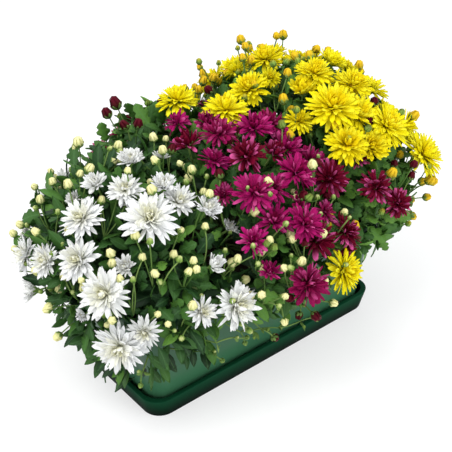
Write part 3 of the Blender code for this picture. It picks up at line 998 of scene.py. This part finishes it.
def bud(foot, head, axis, radius, draw, row=BUD_ROW):
    """One bud: its body, the petals closed over it, its scales and its stalk."""
    axes = round_axes(axis, draw)
    axis = axes[0, 2]
    tone = 4 * draw.randint(0, 4)
    seat = head - axis * radius
    height = radius * (2.2 + 0.35 * draw.rand())
    points = bent(KNOB, height * 0.94, radius * 1.85, radius * 1.85, math.radians(90.0), 0.0)
    batches = [(KNOB, placed(points, axes, seat[None, :]), tone + 1, row)]
    for tall, wide, start, tile_row in ((1.0, 1.15, 0.08, row), (0.45, 0.80, 0.16, SCALE_ROW)):
        long = height / SCALE_BULGE * tall
        points = bent(SCALE, np.full(WRAPPED, long), radius * wide, radius * wide * 0.5,
                      math.radians(15.0), math.radians(150.0) * tall, radius * start, 0.16)
        turn = 2.0 * math.pi * (np.arange(WRAPPED) + 0.12 * draw.normal(size=WRAPPED)) / WRAPPED
        columns = tone + draw.randint(0, 4, WRAPPED)
        batches.append((SCALE, whorl(points, axes, seat, turn), columns, tile_row))
    batches.append(strands(foot[None, :], (seat + axis * radius * 0.2)[None, :], BUD_STALK,
                           0.3 + 0.3 * draw.rand(), axes[:, 1], draw))
    return batches


for number, node in enumerate(BUD_NODES):
    kind = node.split("_")[0]
    draw = np.random.RandomState(300 + number)
    foot, head, axis, radius = GROWTH[node]
    piece = grown(f"{node}_closed", bud(foot, head, axis, radius, draw), PETALS[kind])
    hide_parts(node)

# Sprays of one to four more buds stand all over the plants, most on the white one. White
# ones also lean over the magenta plant's front, magenta ones over the yellow plant's
# front, and tall ones stand on the yellow top.

YOUNG_SHARE = 0.45              # buds this small in their range are still green
FORK_WIDTH, WIDEST_FORK = 0.011, 1.2           # how a spray's buds scatter about its middle
SPRAY_CLEARANCE = 0.75          # of a head's radius that sprays keep clear of
OVER_WALL = 0.004               # the least height of a spray's root above the lip
LIP = TROUGH_HIGH[2] + 0.002
ABOVE_LIP = (((-1.0, -1.0, LIP), (1.0, 1.0, 1.0)),)
WHITE_BACK = (((-1.0, 0.035, 0.19), (1.0, 1.0, 1.0)),)
MAGENTA_FRONT = (((-1.0, -1.0, LIP), (0.045, 0.0, 0.27)),)
YELLOW_FRONT = (((0.06, -1.0, 0.21), (0.20, -0.05, 0.31)),)
YELLOW_TOP = (((-1.0, 0.02, 0.26), (0.17, 1.0, 1.0)),)
SPRAYS = (                      # piece, kind, plant, spacing, most buds, radii, stand, seed, where, bare
    ("white_bud_sprays", "white", "white", 0.027, 4, (0.0022, 0.0056), (0.008, 0.030), 400,
     ABOVE_LIP, WHITE_BACK),
    ("white_back_sprays", "white", "white", 0.036, 2, (0.0022, 0.0060), (0.012, 0.034), 405,
     WHITE_BACK, NOWHERE),
    ("magenta_bud_sprays", "magenta", "magenta", 0.056, 2, (0.0036, 0.0062), (0.010, 0.030), 401,
     ABOVE_LIP, NOWHERE),
    ("yellow_bud_sprays", "yellow", "yellow", 0.046, 3, (0.0032, 0.0064), (0.008, 0.028), 402,
     ABOVE_LIP, NOWHERE),
    ("white_leaning_sprays", "white", "magenta", 0.026, 4, (0.0022, 0.0056), (0.012, 0.034), 403,
     MAGENTA_FRONT, NOWHERE),
    ("yellow_tall_sprays", "yellow", "yellow", 0.031, 3, (0.0032, 0.0058), (0.018, 0.044), 404,
     YELLOW_TOP, NOWHERE),
    ("magenta_leaning_sprays", "magenta", "yellow", 0.036, 2, (0.0034, 0.0056), (0.012, 0.034), 406,
     YELLOW_FRONT, NOWHERE),
)
for name, kind, plant, spacing, fullest, sizes, stand, seed, where, bare in SPRAYS:
    draw = np.random.RandomState(seed)
    taken = [(place, radius * SPRAY_CLEARANCE) for place, radius in heads[plant]]
    places, normals = spaced(plant, spacing, draw, where, bare, taken)
    batches = []
    for place, normal in zip(places, normals):
        uphill = unit(SKYWARD - normal * (SKYWARD @ normal))
        root = place - normal * 0.014 - uphill * (0.015 + 0.030 * draw.rand())
        root[2] = max(root[2], TROUGH_HIGH[2] + OVER_WALL)
        for each in range(draw.randint(1, fullest + 1)):
            axis = unit(normal + SKYWARD + 0.45 * draw.normal(size=3))
            share = draw.rand()
            radius = sizes[0] + (sizes[1] - sizes[0]) * share
            row = YOUNG_ROW if share < YOUNG_SHARE else BUD_ROW
            head = place + axis * (stand[0] + (stand[1] - stand[0]) * draw.rand())
            head = head + FORK_WIDTH * np.clip(draw.normal(size=3), -WIDEST_FORK, WIDEST_FORK)
            if outside(head, radius):
                continue
            lean = unit(head - root + 0.01 * draw.normal(size=3))
            batches += bud(root, head, lean, radius, draw, row)
    piece = grown(name, batches, PETALS[kind])

# ------------------------ the trailing stems
# Thin shoots that have grown over the lip and hang before the trough's walls. Each has
# two small leaves and a young bud at every joint, and a larger bud at its end.

TRAIL_STALK = 0.0019
TRAIL_BEND = 0.35
JOINT_LEAVES = 2
JOINT_BUD = 0.0020
TRAIL_BUD = {"white": (0.0030, YOUNG_ROW), "magenta": (0.0052, BUD_ROW)}
TRAILS = {                      # each shoot's joints, from the lip to its bud
    "white": (
        ((-0.185, -0.097, 0.126), (-0.158, -0.112, 0.118), (-0.128, -0.117, 0.102), (-0.112, -0.113, 0.078)),
        ((-0.150, -0.098, 0.130), (-0.122, -0.117, 0.112), (-0.096, -0.119, 0.108), (-0.074, -0.115, 0.094)),
        ((-0.100, -0.098, 0.126), (-0.082, -0.115, 0.107), (-0.072, -0.111, 0.084)),
        ((-0.205, -0.094, 0.124), (-0.221, -0.104, 0.114), (-0.224, -0.103, 0.098)),
        ((-0.212, -0.040, 0.120), (-0.228, -0.044, 0.098), (-0.226, -0.052, 0.074)),
        ((-0.130, 0.098, 0.126), (-0.118, 0.114, 0.108), (-0.098, 0.112, 0.080)),
    ),
    "magenta": (
        ((-0.076, -0.097, 0.122), (-0.059, -0.112, 0.096), (-0.020, -0.117, 0.083), (0.020, -0.117, 0.074),
         (0.052, -0.113, 0.061)),
        ((-0.062, -0.098, 0.124), (-0.046, -0.113, 0.092), (-0.024, -0.112, 0.068)),
        ((0.016, -0.098, 0.124), (0.030, -0.113, 0.104), (0.024, -0.112, 0.084)),
        ((0.040, 0.098, 0.124), (0.020, 0.114, 0.102), (0.012, 0.112, 0.076)),
    ),
}
for number, (kind, shoots) in enumerate(TRAILS.items()):
    draw = np.random.RandomState(500 + number)
    batches = []
    for shoot in shoots:
        joints = np.array(shoot)
        bends = TRAIL_BEND * np.where(np.arange(len(joints) - 1) % 2, -1.0, 1.0)
        up = SKYWARD + 0.0 * joints[1:]
        batches.append(strands(joints[:-1], joints[1:], TRAIL_STALK, bends, up, draw))
        for joint in joints[:-1]:
            outward = np.array([0.0, np.sign(joint[1]) * 0.8, 0.0])
            forward = unit(outward + 0.8 * draw.normal(size=(JOINT_LEAVES, 3)))
            face = SKYWARD + outward + 0.3 * draw.normal(size=(JOINT_LEAVES, 3))
            long = 0.007 + 0.009 * draw.rand(JOINT_LEAVES)
            points = bent(PLAIN_LEAF, long, long, long, 0.35, -0.7)
            batches.append((PLAIN_LEAF, placed(points, aimed(forward, face), joint[None, :]),
                            draw.randint(0, ATLAS, JOINT_LEAVES), ATLAS - 1))
            small = joint + unit(forward[0] + SKYWARD) * 0.009
            batches += bud(joint, small, forward[0], JOINT_BUD, draw, YOUNG_ROW)
        tip = joints[-1]
        lean = unit(tip - joints[-2])
        radius, row = TRAIL_BUD[kind]
        batches += bud(tip - lean * 0.004, tip + lean * 0.004, lean, radius, draw, row)
    piece = grown(f"{kind}_trailing_stems", batches, PETALS[kind])

# Leaves hang over the lip too, at the left end, the front's left corner and the back.

HANGING = (                     # leaves, their drop, the ends of their line, which way they face
    (70, 0.050, (-0.216, -0.085, 0.134), (-0.216, 0.080, 0.128), (-1.0, -0.1, 0.0)),
    (44, 0.046, (-0.214, -0.094, 0.150), (-0.110, -0.101, 0.152), (-0.3, -1.0, 0.0)),
    (40, 0.050, (-0.170, 0.102, 0.132), (0.190, 0.102, 0.132), (0.0, 1.0, 0.0)),
)
draw = np.random.RandomState(520)
batches = []
for count, fall, start, end, outward in HANGING:
    share = draw.rand(count, 1)
    roots = np.array(start) * (1.0 - share) + np.array(end) * share
    drop = draw.rand(count) ** 1.4
    roots[:, 2] -= fall * drop
    roots = roots + np.array(outward) * (0.014 * (1.0 - drop))[:, None]
    forward = np.array(outward) * 0.75 + 0.60 * draw.normal(size=(count, 3)) - 1.8 * SKYWARD
    face = np.array(outward) + SKYWARD * 2.0 + 0.45 * draw.normal(size=(count, 3))
    long = 0.019 + 0.018 * draw.rand(count)
    curl = np.radians(-30.0 + 15.0 * draw.normal(size=count))
    points = bent(PLAIN_LEAF, long, long * 0.95, long, -0.5 * curl, curl)
    batches.append((PLAIN_LEAF, placed(points, aimed(forward, face), roots),
                    draw.randint(0, ATLAS, count), draw.randint(0, ATLAS, count)))
hanging = grown("hanging_leaves", batches, leaf_green)
